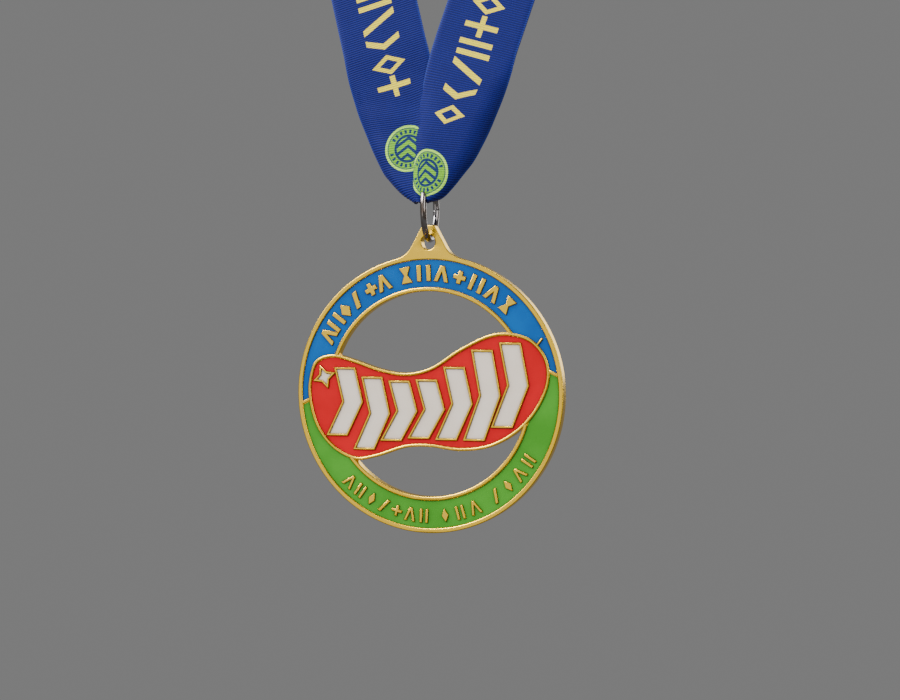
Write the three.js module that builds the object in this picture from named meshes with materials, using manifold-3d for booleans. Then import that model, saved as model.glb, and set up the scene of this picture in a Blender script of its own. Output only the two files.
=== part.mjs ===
// Sports finisher medal: a cast gold-plated ring medal with soft enamel fields,
// hung by a steel jump ring from a grosgrain neck ribbon.
// Millimetres, +Z up, +X to the wearer's left, front of the medal towards -Y.
// The pieces are drawn about the medal's centre and then moved, so that the
// origin is the middle of the ribbon at the nape of the neck, where it is held.

import * as THREE from 'three';
import { mergeVertices } from 'three/addons/utils/BufferGeometryUtils.js';
import Module from 'manifold-3d';

const wasm = await Module();
wasm.setup();

// ---- driving dimensions ----

const medal = {
	radius: 40,
	windowRadius: 29.5,
	thickness: 3.2,
	outerRim: 1.4,
	innerRim: 1.2,
	recess: 0.7,
};

const tab = {
	height: 8.5,
	topWidth: 3.5,
	sideSlope: 0.55,
	cornerCut: 0.6,
	filletRise: 1.9,
	rootHalfWidth: 10.2,
	holeDiameter: 4.2,
	holeDrop: 5.0,
};

const plaque = {
	outlineWidth: 0.9,
	cellWall: 0.5,
	cellCount: 7,
	cellPitch: 8.3,
	cellStroke: 5.4,
	cellSweep: 2.3,
	cellMargin: 1.9,
	firstCell: -25.4,
};

const enamel = {
	fill: 0.28,
	clearance: 0.05,
};

const jumpRing = {
	wire: 1.8,
	outside: 19,
	split: 0.12,
	tabClearance: 0.2,
	yaw: 5.6,
	sway: 30,
	swayDrop: 4.7,
};

const ribbon = {
	width: 25,
	thickness: 0.9,
	foldThickness: 1.8,
	foldLean: 0.186,
	uprightRise: 43.1,
	wireClearance: 0.35,
	saddleDepth: 6.9,
	saddleBack: 2.6,
	splay: 16.46,
	footX: 13.9,
	footRise: 45.5,
	seamInset: 0.5,
	seamOverlap: 3,
};

const upperMarks = { height: 4.6, stroke: 1.25, radius: 34.7 };
const lowerMarks = { height: 3.9, stroke: 0.75, radius: 35.1 };

// ---- sizes that follow from them ----

const front = -medal.thickness / 2;
const back = medal.thickness / 2;
const recessFloor = front + medal.recess;
const bandOuter = medal.radius - medal.outerRim;
const bandInner = medal.windowRadius + medal.innerRim;
const overcut = 1;
const wireRadius = jumpRing.wire / 2;
const ringRadius = (jumpRing.outside - jumpRing.wire) / 2;
const ringInside = ringRadius - wireRadius;
const tabTop = medal.radius + tab.height;
const holeRadius = tab.holeDiameter / 2;
const holeZ = tabTop - tab.holeDrop;

// The ring curls up towards both faces of the tab, so it hangs a little below the hole's top.
const ringRiseAtTab = ringInside - Math.sqrt(ringInside ** 2 - back ** 2);
const ringZ = holeZ + holeRadius - ringRiseAtTab - jumpRing.tabClearance + ringInside;
const foldZ = ringZ + ringRadius - ribbon.saddleDepth;

const degrees = THREE.MathUtils.degToRad;

// ---- materials ----

function finish(color, roughness, metalness) {
	return new THREE.MeshStandardMaterial({ color, roughness, metalness });
}

const goldPlate = finish(0xd4b26a, 0.28, 1);
const steel = finish(0xb9b9bd, 0.2, 1);
const blueEnamel = finish(0x2277c6, 0.3, 0);
const greenEnamel = finish(0x5caa3f, 0.3, 0);
const redEnamel = finish(0xde2830, 0.3, 0);
const whiteEnamel = finish(0xe3dad6, 0.35, 0);
const grosgrain = finish(0x1f3a93, 0.85, 0);

// ---- solids ----

function solid(geometry) {
	const bare = geometry.index ? geometry : geometry.clone();
	bare.deleteAttribute('normal');
	bare.deleteAttribute('uv');
	const merged = mergeVertices(bare, 1e-4);
	return new wasm.Manifold(new wasm.Mesh({
		numProp: 3,
		vertProperties: new Float32Array(merged.attributes.position.array),
		triVerts: new Uint32Array(merged.index.array),
	}));
}

function toMesh(body, name, material) {
	const got = body.getMesh();
	const geometry = new THREE.BufferGeometry();
	geometry.setAttribute('position', new THREE.BufferAttribute(got.vertProperties, 3));
	geometry.setIndex(new THREE.BufferAttribute(got.triVerts, 1));
	geometry.computeVertexNormals();
	const mesh = new THREE.Mesh(geometry, material);
	mesh.name = name;
	return mesh;
}

// A shape drawn in x and z, from yFront back to yBack.
function plate(shape, yFront, yBack, curveSegments = 12) {
	const geometry = new THREE.ExtrudeGeometry(shape, {
		depth: yBack - yFront,
		bevelEnabled: false,
		curveSegments,
	});
	geometry.rotateX(Math.PI / 2);
	geometry.translate(0, yBack, 0);
	return solid(geometry);
}

function disc(radius, yFront, yBack, x = 0, z = 0, sides = 96) {
	const shape = new THREE.Shape();
	shape.absarc(x, z, radius, 0, 2 * Math.PI);
	return plate(shape, yFront, yBack, sides);
}

// Moves each side of a closed anticlockwise outline outwards by a distance.
function offset(points, distance) {
	return points.map((point, i) => {
		const before = points[(i + points.length - 1) % points.length];
		const after = points[(i + 1) % points.length];
		const arriving = point.clone().sub(before).normalize();
		const leaving = after.clone().sub(point).normalize();
		const outward = new THREE.Vector2(arriving.y + leaving.y, -arriving.x - leaving.x).normalize();
		const spread = outward.dot(new THREE.Vector2(arriving.y, -arriving.x));
		return point.clone().addScaledVector(outward, distance / spread);
	});
}

function toPoints(pairs) {
	return pairs.map(([x, z]) => new THREE.Vector2(x, z));
}

function joined(bodies) {
	return bodies.reduce((sum, body) => sum.add(body));
}

// ---- the bean-shaped plaque across the ring ----

const beanCorners = [
	[-36.8, 2.5], [-34.6, 9.3], [-29.5, 11.2], [-23.0, 9.8], [-14.5, 7.1], [-6.8, 6.0],
	[0.5, 7.6], [9.4, 13.1], [18.6, 17.3], [24.8, 17.7], [31.0, 15.6], [35.2, 10.3],
	[35.8, 4.0], [32.6, -3.8], [27.0, -10.2], [18.6, -14.9], [9.4, -16.2], [0.0, -15.2],
	[-6.8, -15.6], [-16.0, -18.5], [-22.2, -19.4], [-29.0, -16.3], [-34.0, -10.5], [-36.4, -3.5],
];

const beanSteps = 96;

// The bean keeps its distance to the medal's edge when the medal's radius changes.
const beanReach = 40;
const beanScale = medal.radius / beanReach;

function beanOutline(grow) {
	const corners = beanCorners.map(([x, z]) => new THREE.Vector3(x * beanScale, z * beanScale, 0));
	const curve = new THREE.CatmullRomCurve3(corners, true, 'centripetal');
	const outline = curve.getSpacedPoints(beanSteps).slice(0, beanSteps);
	const points = outline.map((p) => new THREE.Vector2(p.x, p.y)).reverse();
	return offset(points, grow);
}

function beanPlate(grow, yFront, yBack) {
	return plate(new THREE.Shape(beanOutline(grow)), yFront, yBack);
}

// Lowest and highest point of the bean's inside at one x.
function beanSpan(x) {
	const outline = beanOutline(-plaque.outlineWidth);
	const heights = [];
	outline.forEach((a, i) => {
		const b = outline[(i + 1) % outline.length];
		if ((a.x - x) * (b.x - x) <= 0 && a.x !== b.x) {
			heights.push(a.y + (b.y - a.y) * (x - a.x) / (b.x - a.x));
		}
	});
	return [Math.min(...heights), Math.max(...heights)];
}

// A slanted arrow-head bar, as tall as the bean allows at its place.
function arrowOutline(index) {
	const x = (plaque.firstCell + index * plaque.cellPitch) * beanScale;
	const half = plaque.cellStroke / 2;
	const sweep = plaque.cellSweep;
	const lows = [x - half - sweep, x, x + half - sweep].map((at) => beanSpan(at)[0]);
	const highs = [x - half, x, x + half].map((at) => beanSpan(at)[1]);
	const bottom = Math.max(...lows) + plaque.cellMargin;
	const top = Math.min(...highs) - plaque.cellMargin;
	const middle = (bottom + top) / 2;
	return toPoints([
		[x - half - sweep, bottom], [x + half - sweep, bottom],
		[x + half + sweep, middle],
		[x + half, top], [x - half, top],
		[x - half + sweep, middle],
	]);
}

// A four-pointed sparkle near the bean's left end.
function sparkleOutline() {
	const centre = new THREE.Vector2(-31.9 * beanScale, 4.6 * beanScale);
	const points = [];
	for (let i = 0; i < 8; i++) {
		const reach = i % 2 === 0 ? 2.5 : 1.15;
		const angle = degrees(20 + 45 * i);
		points.push(new THREE.Vector2(reach * Math.cos(angle), reach * Math.sin(angle)).add(centre));
	}
	return points;
}

function cellOutlines() {
	const arrows = Array.from({ length: plaque.cellCount }, (_, i) => arrowOutline(i));
	return [...arrows, sparkleOutline()];
}

function cellPlate(points, grow, yFront, yBack) {
	return plate(new THREE.Shape(offset(points, grow)), yFront, yBack);
}

// ---- raised marks on the bands ----

const markOutlines = {
	hourglass: (h, s) => [[
		[-h * 0.36, -h / 2], [h * 0.36, -h / 2], [s * 0.4, 0], [h * 0.36, h / 2],
		[-h * 0.36, h / 2], [-s * 0.4, 0],
	]],
	twin: (h, s) => [-1.15, 1.15].map((k) => {
		const x = k * s;
		return [[x - s / 2, -h / 2], [x + s / 2, -h / 2], [x + s / 2, h / 2], [x - s / 2, h / 2]];
	}),
	diamond: (h, s) => [[[0, -h / 2], [s * 1.35, 0], [0, h / 2], [-s * 1.35, 0]]],
	chevron: (h, s) => [[
		[-h * 0.34 - s / 2, -h / 2], [-h * 0.34 + s / 2, -h / 2], [0, h / 2 - s * 1.3],
		[h * 0.34 - s / 2, -h / 2], [h * 0.34 + s / 2, -h / 2], [s / 2, h / 2], [-s / 2, h / 2],
	]],
	wave: (h, s) => [[
		[-h * 0.34, -h / 2], [-h * 0.34 + s * 1.2, -h / 2], [h * 0.34, h / 2], [h * 0.34 - s * 1.2, h / 2],
	]],
	plus: (h, s) => [[
		[-s / 2, -h * 0.4], [s / 2, -h * 0.4], [s / 2, -s / 2], [h * 0.4, -s / 2],
		[h * 0.4, s / 2], [s / 2, s / 2], [s / 2, h * 0.4], [-s / 2, h * 0.4],
		[-s / 2, s / 2], [-h * 0.4, s / 2], [-h * 0.4, -s / 2], [-s / 2, -s / 2],
	]],
};

const upperGroups = [
	{ from: 151.3, step: -7.4, kinds: ['chevron', 'twin', 'diamond', 'wave'] },
	{ from: 120.1, step: -7.0, kinds: ['plus', 'chevron'] },
	{ from: 101.3, step: -9.0, kinds: ['hourglass', 'twin', 'chevron', 'plus', 'twin', 'chevron', 'hourglass'] },
];

const lowerGroups = [
	{ from: 227.0, step: 6.8, kinds: ['chevron', 'twin', 'diamond', 'wave', 'plus', 'chevron', 'twin'] },
	{ from: 278.3, step: 7.6, kinds: ['diamond', 'twin', 'chevron'] },
	{ from: 305.1, step: 7.7, kinds: ['wave', 'diamond', 'chevron', 'twin'] },
];

// Every mark stands upright to the reader: outwards on top, inwards below.
function bandMarks(groups, marks, uprightOutwards, grow) {
	const turned = uprightOutwards ? -90 : 90;
	const radius = marks.radius + medal.radius - beanReach;
	const bodies = [];
	for (const group of groups) {
		group.kinds.forEach((kind, i) => {
			const angle = group.from + i * group.step;
			const turn = degrees(angle + turned);
			const centre = new THREE.Vector2(Math.cos(degrees(angle)), Math.sin(degrees(angle)));
			centre.multiplyScalar(radius);
			for (const pairs of markOutlines[kind](marks.height, marks.stroke)) {
				const points = offset(toPoints(pairs), grow);
				points.forEach((p) => p.rotateAround(new THREE.Vector2(), turn).add(centre));
				bodies.push(plate(new THREE.Shape(points), front - overcut, back));
			}
		});
	}
	return bodies;
}

// The short raised stroke between the bean's right shoulder and the rim.
function shoulderStroke(grow) {
	const centre = new THREE.Vector2(33.0, 15.2).multiplyScalar(beanScale);
	const points = offset(toPoints([[-0.25, -1.3], [0.25, -1.3], [0.25, 1.3], [-0.25, 1.3]]), grow);
	points.forEach((p) => p.rotateAround(new THREE.Vector2(), degrees(-38)).add(centre));
	return plate(new THREE.Shape(points), front - overcut, back);
}

// ---- enamel fields ----

// A stretch of the band; its ends slant from one angle outside to another inside.
function bandField(ends, inset, yFront, yBack) {
	const outer = bandOuter - inset;
	const inner = bandInner + inset;
	const trimOuter = inset / outer;
	const trimInner = inset / inner;
	const shape = new THREE.Shape();
	shape.absarc(0, 0, outer, degrees(ends.outer[0]) + trimOuter, degrees(ends.outer[1]) - trimOuter);
	shape.absarc(0, 0, inner, degrees(ends.inner[1]) - trimInner, degrees(ends.inner[0]) + trimInner, true);
	return plate(shape, yFront, yBack, 48);
}

const dividerHalf = 0.6;
const skyEnds = { outer: [8.4 + dividerHalf, 184.8 - dividerHalf], inner: [17.4, 178.8] };
const grassEnds = { outer: [184.8 + dividerHalf, 368.4 - dividerHalf], inner: [178.8, 377.4] };

// Each field is drawn once: as the recess that is cast for it, and, with a
// clearance all round, as the enamel that fills it.
function skyField(inset, yFront, yBack) {
	const marks = [...bandMarks(upperGroups, upperMarks, true, inset), shoulderStroke(inset)];
	return bandField(skyEnds, inset, yFront, yBack)
		.subtract(beanPlate(inset, yFront - overcut, yBack + overcut))
		.subtract(joined(marks));
}

function grassField(inset, yFront, yBack) {
	return bandField(grassEnds, inset, yFront, yBack)
		.subtract(beanPlate(inset, yFront - overcut, yBack + overcut))
		.subtract(joined(bandMarks(lowerGroups, lowerMarks, false, inset)));
}

function plaqueField(inset, yFront, yBack) {
	const cells = cellOutlines().map((points) =>
		cellPlate(points, plaque.cellWall + inset, yFront - overcut, yBack + overcut));
	return beanPlate(-plaque.outlineWidth - inset, yFront, yBack).subtract(joined(cells));
}

// ---- the cast medal ----

function tabShape() {
	const rootAngle = Math.asin(tab.rootHalfWidth / medal.radius);
	const rootZ = medal.radius * Math.cos(rootAngle) - overcut;
	const half = tab.topWidth / 2;
	const footZ = medal.radius + tab.filletRise;
	const footX = half + tab.sideSlope * (tabTop - footZ);
	const bendX = footX + tab.sideSlope * (footZ - medal.radius) + 0.4;
	const bendZ = medal.radius - 0.5;
	const cut = tab.cornerCut;
	const shape = new THREE.Shape();
	shape.moveTo(-tab.rootHalfWidth, rootZ);
	shape.lineTo(tab.rootHalfWidth, rootZ);
	shape.lineTo(tab.rootHalfWidth, rootZ + overcut);
	shape.quadraticCurveTo(bendX, bendZ, footX, footZ);
	shape.lineTo(half + tab.sideSlope * cut, tabTop - cut);
	shape.quadraticCurveTo(half, tabTop, half - cut, tabTop);
	shape.lineTo(-half + cut, tabTop);
	shape.quadraticCurveTo(-half, tabTop, -half - tab.sideSlope * cut, tabTop - cut);
	shape.lineTo(-footX, footZ);
	shape.quadraticCurveTo(-bendX, bendZ, -tab.rootHalfWidth, rootZ + overcut);
	return shape;
}

function buildCasting() {
	const cutFront = front - overcut;
	const cells = cellOutlines().map((points) => cellPlate(points, 0, cutFront, recessFloor));
	return disc(medal.radius, front, back)
		.add(plate(tabShape(), front, back, 8))
		.subtract(disc(medal.windowRadius, cutFront, back + overcut))
		.subtract(disc(holeRadius, cutFront, back + overcut, 0, holeZ, 32))
		.add(beanPlate(0, front, back))
		.subtract(skyField(0, cutFront, recessFloor))
		.subtract(grassField(0, cutFront, recessFloor))
		.subtract(plaqueField(0, cutFront, recessFloor))
		.subtract(joined(cells));
}

function enamelPiece(field) {
	const floor = recessFloor - enamel.clearance;
	return field(enamel.clearance, floor - enamel.fill, floor);
}

function cellFill(points) {
	const floor = recessFloor - enamel.clearance;
	return cellPlate(points, -enamel.clearance, floor - enamel.fill, floor);
}

// ---- the jump ring, in an upright plane a little turned from x = 0 ----

function ringTube(tubeRadius) {
	const torus = new THREE.TorusGeometry(ringRadius, tubeRadius, 14, 48);
	torus.rotateY(Math.PI / 2);
	return solid(torus);
}

function hangRing(body) {
	return body.rotate([0, 0, jumpRing.yaw]).translate([0, 0, ringZ]);
}

// The room the ring takes up as it sways to both sides in the ribbon.
function swayRoom() {
	const steps = 8;
	const axisZ = ringZ + ringRadius - jumpRing.swayDrop;
	const room = hangRing(ringTube(wireRadius + ribbon.wireClearance)).translate([0, 0, -axisZ]);
	const turned = Array.from({ length: steps + 1 }, (_, i) =>
		room.rotate([0, (2 * i / steps - 1) * jumpRing.sway, 0]));
	return joined(turned).translate([0, 0, axisZ]);
}

function buildJumpRing() {
	const split = new THREE.BoxGeometry(2 * jumpRing.wire, 2 * jumpRing.wire, jumpRing.split);
	split.translate(0, ringRadius, 0);
	return hangRing(ringTube(wireRadius).subtract(solid(split)));
}

// ---- the neck ribbon ----

// Outer edge of the gathered V, from its left shoulder round the tip to the right
// one, as steps above the fold. The tip hangs a little to the left of the ring.
const foldEdge = [
	[-23.2, 33.4], [-18.6, 20.6], [-13.1, 10.1], [-7.7, 2.6], [-2.8, 0.0],
	[3.3, 1.4], [5.9, 4.0], [13.1, 12.6], [19.2, 26.2], [22.5, 34.5],
];

const meetingRise = 41.3;

// The strap's middle line on the wearer's left, from the V to the nape, with
// the way that its face looks: forwards at the chest, upwards on the shoulder
// and backwards at the nape.
const strapRoute = [
	{ at: [ribbon.footX, 0.4, ribbon.footRise], faces: [0, -1, 0.18] },
	{ at: [17.8, 2.9, 58.7], faces: [0, -1, 0.18] },
	{ at: [36.0, 14.4, 120.4], faces: [0, -1, 0.18] },
	{ at: [54.0, 25.7, 181.4], faces: [0.05, -1, 0.2] },
	{ at: [68.0, 37.0, 229.4], faces: [0.22, -0.9, 0.42] },
	{ at: [73.5, 55.0, 257.4], faces: [0.42, -0.5, 0.75] },
	{ at: [70.0, 82.0, 270.4], faces: [0.42, 0.05, 0.9] },
	{ at: [56.0, 115.0, 271.4], faces: [0.36, 0.42, 0.82] },
	{ at: [32.0, 140.0, 267.4], faces: [0.16, 0.72, 0.68] },
	{ at: [0, 150.0, 265.4], faces: [0, 0.8, 0.6] },
];

const strapSteps = 46;

function foldPoint([x, rise]) {
	return new THREE.Vector2(x, foldZ + rise);
}

// One strip across the whole loop, left V to nape to right V.
function strapLoop() {
	const half = strapRoute.map(({ at, faces }) => ({
		at: new THREE.Vector3(at[0], at[1], foldZ + at[2]),
		faces: new THREE.Vector3(...faces),
	}));
	const flip = new THREE.Vector3(-1, 1, 1);
	const other = half.slice(0, -1).map(({ at, faces }) => ({
		at: at.clone().multiply(flip),
		faces: faces.clone().multiply(flip),
	}));
	const stations = [...other, ...half.reverse()];
	const middle = new THREE.CatmullRomCurve3(stations.map((s) => s.at), false, 'centripetal');
	const facing = new THREE.CatmullRomCurve3(stations.map((s) => s.faces), false, 'centripetal');
	return { middle, facing };
}

function buildStraps() {
	const { middle, facing } = strapLoop();
	const steps = 2 * strapSteps;
	const positions = [];
	for (let i = 0; i <= steps; i++) {
		const t = i / steps;
		const along = middle.getTangent(t);
		const out = facing.getPoint(t);
		const across = new THREE.Vector3().crossVectors(along, out).normalize();
		out.crossVectors(across, along).normalize();
		for (const [w, d] of [[-1, -1], [1, -1], [1, 1], [-1, 1]]) {
			const corner = middle.getPoint(t)
				.addScaledVector(across, w * ribbon.width / 2)
				.addScaledVector(out, d * ribbon.thickness / 2);
			positions.push(corner.x, corner.y, corner.z);
		}
	}
	const indices = [];
	for (let i = 0; i < steps; i++) {
		for (let k = 0; k < 4; k++) {
			const a = 4 * i + k;
			const b = 4 * i + (k + 1) % 4;
			indices.push(a, b + 4, b, a, a + 4, b + 4);
		}
	}
	const last = 4 * steps;
	indices.push(0, 1, 2, 0, 2, 3, last, last + 2, last + 1, last, last + 3, last + 2);
	const geometry = new THREE.BufferGeometry();
	geometry.setAttribute('position', new THREE.BufferAttribute(new Float32Array(positions), 3));
	geometry.setIndex(indices);
	return solid(geometry);
}

// A point on a strap's foot: side -1 or 1, outwards across the strap and up along it.
function footPoint(side, outwards, upwards) {
	const splay = degrees(ribbon.splay);
	const x = ribbon.footX + outwards * Math.cos(splay) + upwards * Math.sin(splay);
	const rise = ribbon.footRise - outwards * Math.sin(splay) + upwards * Math.cos(splay);
	return foldPoint([side * x, rise]);
}

// Seen from the side the gathered V is a wedge: its front leans forwards down to the
// tip, and its back drops straight behind the ring's top.
function foldSide() {
	const lean = (rise) => (rise - ribbon.uprightRise) * ribbon.foldLean;
	const half = ribbon.foldThickness / 2;
	const top = ribbon.footRise + ribbon.width / 2;
	const tipRound = 1.6;
	return [
		[lean(tipRound) - half, tipRound], [lean(0) - half + tipRound, 0],
		[ribbon.saddleBack - tipRound, 0], [ribbon.saddleBack, tipRound],
		[ribbon.saddleBack, ribbon.saddleDepth], [lean(ribbon.uprightRise) + half, ribbon.uprightRise],
		[lean(top) + half, top], [lean(top) - half, top],
	];
}

function buildFold() {
	const half = ribbon.width / 2 - ribbon.seamInset;
	const shoulders = [-1, 1].map((side) => ({
		outer: footPoint(side, half, ribbon.seamOverlap),
		inner: footPoint(side, -half, ribbon.seamOverlap),
	}));
	const [left, right] = shoulders;
	const meeting = foldPoint([0, meetingRise]);
	const shape = new THREE.Shape();
	shape.moveTo(left.outer.x, left.outer.y);
	shape.splineThru([...foldEdge.map(foldPoint), right.outer]);
	shape.lineTo(right.inner.x, right.inner.y);
	shape.lineTo(meeting.x, meeting.y);
	shape.lineTo(left.inner.x, left.inner.y);
	const deep = ribbon.width;
	const side = new THREE.ExtrudeGeometry(
		new THREE.Shape(foldSide().map(([y, rise]) => new THREE.Vector2(y, foldZ + rise))),
		{ depth: 4 * ribbon.width, bevelEnabled: false },
	);
	side.rotateX(Math.PI / 2);
	side.rotateZ(Math.PI / 2);
	side.translate(-2 * ribbon.width, 0, 0);
	return plate(shape, -deep, deep, 4)
		.intersect(solid(side))
		.subtract(swayRoom());
}

function buildRibbon() {
	return buildStraps().add(buildFold());
}

// ---- assembly ----

const nape = strapRoute.at(-1).at;
const hanging = new THREE.Group();
hanging.position.set(0, -nape[1], -(foldZ + nape[2]));

hanging.add(toMesh(buildCasting(), 'medal_casting', goldPlate));
hanging.add(toMesh(enamelPiece(skyField), 'blue_enamel', blueEnamel));
hanging.add(toMesh(enamelPiece(grassField), 'green_enamel', greenEnamel));
hanging.add(toMesh(enamelPiece(plaqueField), 'red_enamel', redEnamel));
cellOutlines().forEach((points, i) => {
	const name = i < plaque.cellCount ? `white_arrow_${i + 1}` : 'white_sparkle';
	hanging.add(toMesh(cellFill(points), name, whiteEnamel));
});
hanging.add(toMesh(buildJumpRing(), 'jump_ring', steel));
hanging.add(toMesh(buildRibbon(), 'neck_ribbon', grosgrain));

const part = new THREE.Group();
part.add(hanging);

export default part;
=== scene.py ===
import math

import bmesh
import bpy
import numpy as np
from mathutils import Matrix, Vector


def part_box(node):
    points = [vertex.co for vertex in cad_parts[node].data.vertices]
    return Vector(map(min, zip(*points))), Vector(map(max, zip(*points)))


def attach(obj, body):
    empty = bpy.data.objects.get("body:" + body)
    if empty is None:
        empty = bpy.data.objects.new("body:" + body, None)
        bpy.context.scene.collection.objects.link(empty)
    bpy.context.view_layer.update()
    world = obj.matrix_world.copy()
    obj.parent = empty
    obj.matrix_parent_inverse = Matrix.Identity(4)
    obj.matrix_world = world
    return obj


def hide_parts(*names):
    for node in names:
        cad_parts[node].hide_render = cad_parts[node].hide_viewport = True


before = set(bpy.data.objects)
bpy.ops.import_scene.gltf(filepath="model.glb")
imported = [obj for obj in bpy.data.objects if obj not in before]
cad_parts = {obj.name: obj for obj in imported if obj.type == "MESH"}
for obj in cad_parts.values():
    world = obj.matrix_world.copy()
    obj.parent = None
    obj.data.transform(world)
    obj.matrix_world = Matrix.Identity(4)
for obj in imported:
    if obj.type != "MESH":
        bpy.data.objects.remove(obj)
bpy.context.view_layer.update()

mm = 0.001

# the medal's own centre and front, read from its casting
castLow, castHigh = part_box("medal_casting")
medalRadius = (castHigh[0] - castLow[0]) / 2 / mm
medalCentre = Vector((0, (castLow[1] + castHigh[1]) / 2, castLow[2] + medalRadius * mm))
halfThick = (castHigh[1] - castLow[1]) / 2 / mm
tabTop = (castHigh[2] - medalCentre.z) / mm
ringLow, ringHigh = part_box("jump_ring")
ringZ = ((ringLow[2] + ringHigh[2]) / 2 - medalCentre.z) / mm
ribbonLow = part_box("neck_ribbon")[0]
foldZ = (ribbonLow[2] - medalCentre.z) / mm

view = {
    "azimuth": 17.5,
    "elevation": 1.5,
    "lens": 85,
    "distance": 611,
    "right": 5.8,
    "up": 12.6,
}


def place(x, y, z):
    return medalCentre + Vector((x, y, z)) * mm


def makeCamera():
    turn = math.radians(view["azimuth"])
    tilt = math.radians(view["elevation"])
    back = Vector((math.sin(turn) * math.cos(tilt), -math.cos(turn) * math.cos(tilt), math.sin(tilt)))
    right = Vector((math.cos(turn), math.sin(turn), 0))
    up = back.cross(right)
    centre = medalCentre + right * view["right"] * mm + up * view["up"] * mm
    camera = bpy.data.objects.new("camera", bpy.data.cameras.new("camera"))
    camera.data.lens = view["lens"]
    camera.data.clip_start = 0.01
    camera.location = centre + back * view["distance"] * mm
    camera.rotation_euler = Matrix((right, up, back)).transposed().to_euler()
    bpy.context.collection.objects.link(camera)
    bpy.context.scene.camera = camera


makeCamera()
print("camera set")


def addNode(material, kind, **values):
    node = material.node_tree.nodes.new(kind)
    for key, value in values.items():
        setattr(node, key, value)
    return node


def plug(material, target, value):
    if isinstance(value, bpy.types.NodeSocket):
        material.node_tree.links.new(value, target)
    else:
        target.default_value = value


def calc(material, operation, *values):
    node = addNode(material, "ShaderNodeMath", operation=operation)
    for socket, value in zip(node.inputs, values):
        plug(material, socket, value)
    return node.outputs[0]


def blendColors(material, amount, first, second, kind="MIX"):
    node = addNode(material, "ShaderNodeMix", data_type="RGBA", blend_type=kind)
    plug(material, node.inputs[0], amount)
    plug(material, node.inputs[6], first)
    plug(material, node.inputs[7], second)
    return node.outputs[2]


def spread(material, value, low, high, toLow=0.0, toHigh=1.0):
    node = addNode(material, "ShaderNodeMapRange")
    for socket, number in zip(node.inputs, (value, low, high, toLow, toHigh)):
        plug(material, socket, number)
    return node.outputs[0]


def noise(material, where, scale, detail=3.0, roughness=0.55):
    node = addNode(material, "ShaderNodeTexNoise")
    plug(material, node.inputs["Vector"], where)
    plug(material, node.inputs["Scale"], scale)
    plug(material, node.inputs["Detail"], detail)
    plug(material, node.inputs["Roughness"], roughness)
    return node.outputs["Fac"]


def objectPlace(material):
    return addNode(material, "ShaderNodeTexCoord").outputs["Object"]


def bump(material, height, strength, distance):
    node = addNode(material, "ShaderNodeBump")
    plug(material, node.inputs["Height"], height)
    node.inputs["Strength"].default_value = strength
    node.inputs["Distance"].default_value = distance
    return node.outputs[0]


def newMaterial(name):
    material = bpy.data.materials.new(name)
    material.use_nodes = True
    shader = material.node_tree.nodes["Principled BSDF"]
    return material, shader


def color(red, green, blue):
    return (red, green, blue, 1)


def finishMesh(name, mesh, material, smoothAngle=35, weighted=True):
    mesh.materials.clear()
    mesh.materials.append(material)
    mesh.shade_smooth()
    mesh.set_sharp_from_angle(angle=math.radians(smoothAngle))
    piece = bpy.data.objects.new(name, mesh)
    bpy.context.collection.objects.link(piece)
    if weighted:
        modifier = piece.modifiers.new("evenNormals", "WEIGHTED_NORMAL")
        modifier.keep_sharp = True
    return piece


# a plate cut from flat loops given in x and z about the medal's centre, with rounded edges
def roundedPlate(loops, yFront, yBack, edge, steps=2):
    curve = bpy.data.curves.new("plate", "CURVE")
    curve.dimensions = "2D"
    curve.fill_mode = "BOTH"
    for loop in loops:
        spline = curve.splines.new("POLY")
        spline.points.add(len(loop) - 1)
        for point, (x, z) in zip(spline.points, loop):
            point.co = (x, z, 0, 1)
        spline.use_cyclic_u = True
    curve.extrude = (yBack - yFront) / 2 - edge
    curve.bevel_depth = edge
    curve.bevel_resolution = steps
    curve.offset = -edge
    shaped = bpy.data.objects.new("plate", curve)
    bpy.context.collection.objects.link(shaped)
    mesh = bpy.data.meshes.new_from_object(shaped.evaluated_get(bpy.context.evaluated_depsgraph_get()))
    bpy.data.objects.remove(shaped)
    middle = (yFront + yBack) / 2
    mesh.transform(Matrix.Rotation(math.radians(90), 4, "X"))
    mesh.transform(Matrix.Translation((0, middle, 0)))
    mesh.transform(Matrix.Scale(mm, 4))
    mesh.transform(Matrix.Translation(medalCentre))
    return mesh


def joinMeshes(meshes):
    whole = bmesh.new()
    for mesh in meshes:
        whole.from_mesh(mesh)
        bpy.data.meshes.remove(mesh)
    bmesh.ops.remove_doubles(whole, verts=whole.verts, dist=0.5e-6)
    bmesh.ops.recalc_face_normals(whole, faces=whole.faces)
    joined = bpy.data.meshes.new("joined")
    whole.to_mesh(joined)
    whole.free()
    return joined


def circle(radius, x=0.0, z=0.0, sides=256):
    turns = [2 * math.pi * i / sides for i in range(sides)]
    return [(x + radius * math.cos(a), z + radius * math.sin(a)) for a in turns]


def arc(radius, start, end, steps):
    turns = [math.radians(start + (end - start) * i / steps) for i in range(steps + 1)]
    return [(radius * math.cos(a), radius * math.sin(a)) for a in turns]


# moves every side of an anticlockwise loop outwards
def offsetLoop(loop, distance):
    points = [Vector(p) for p in loop]
    moved = []
    for i, point in enumerate(points):
        arriving = (point - points[i - 1]).normalized()
        leaving = (points[(i + 1) % len(points)] - point).normalized()
        outward = Vector((arriving.y + leaving.y, -arriving.x - leaving.x)).normalized()
        reach = outward.dot(Vector((arriving.y, -arriving.x)))
        moved.append(tuple(point + outward * distance / reach))
    return moved


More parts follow.
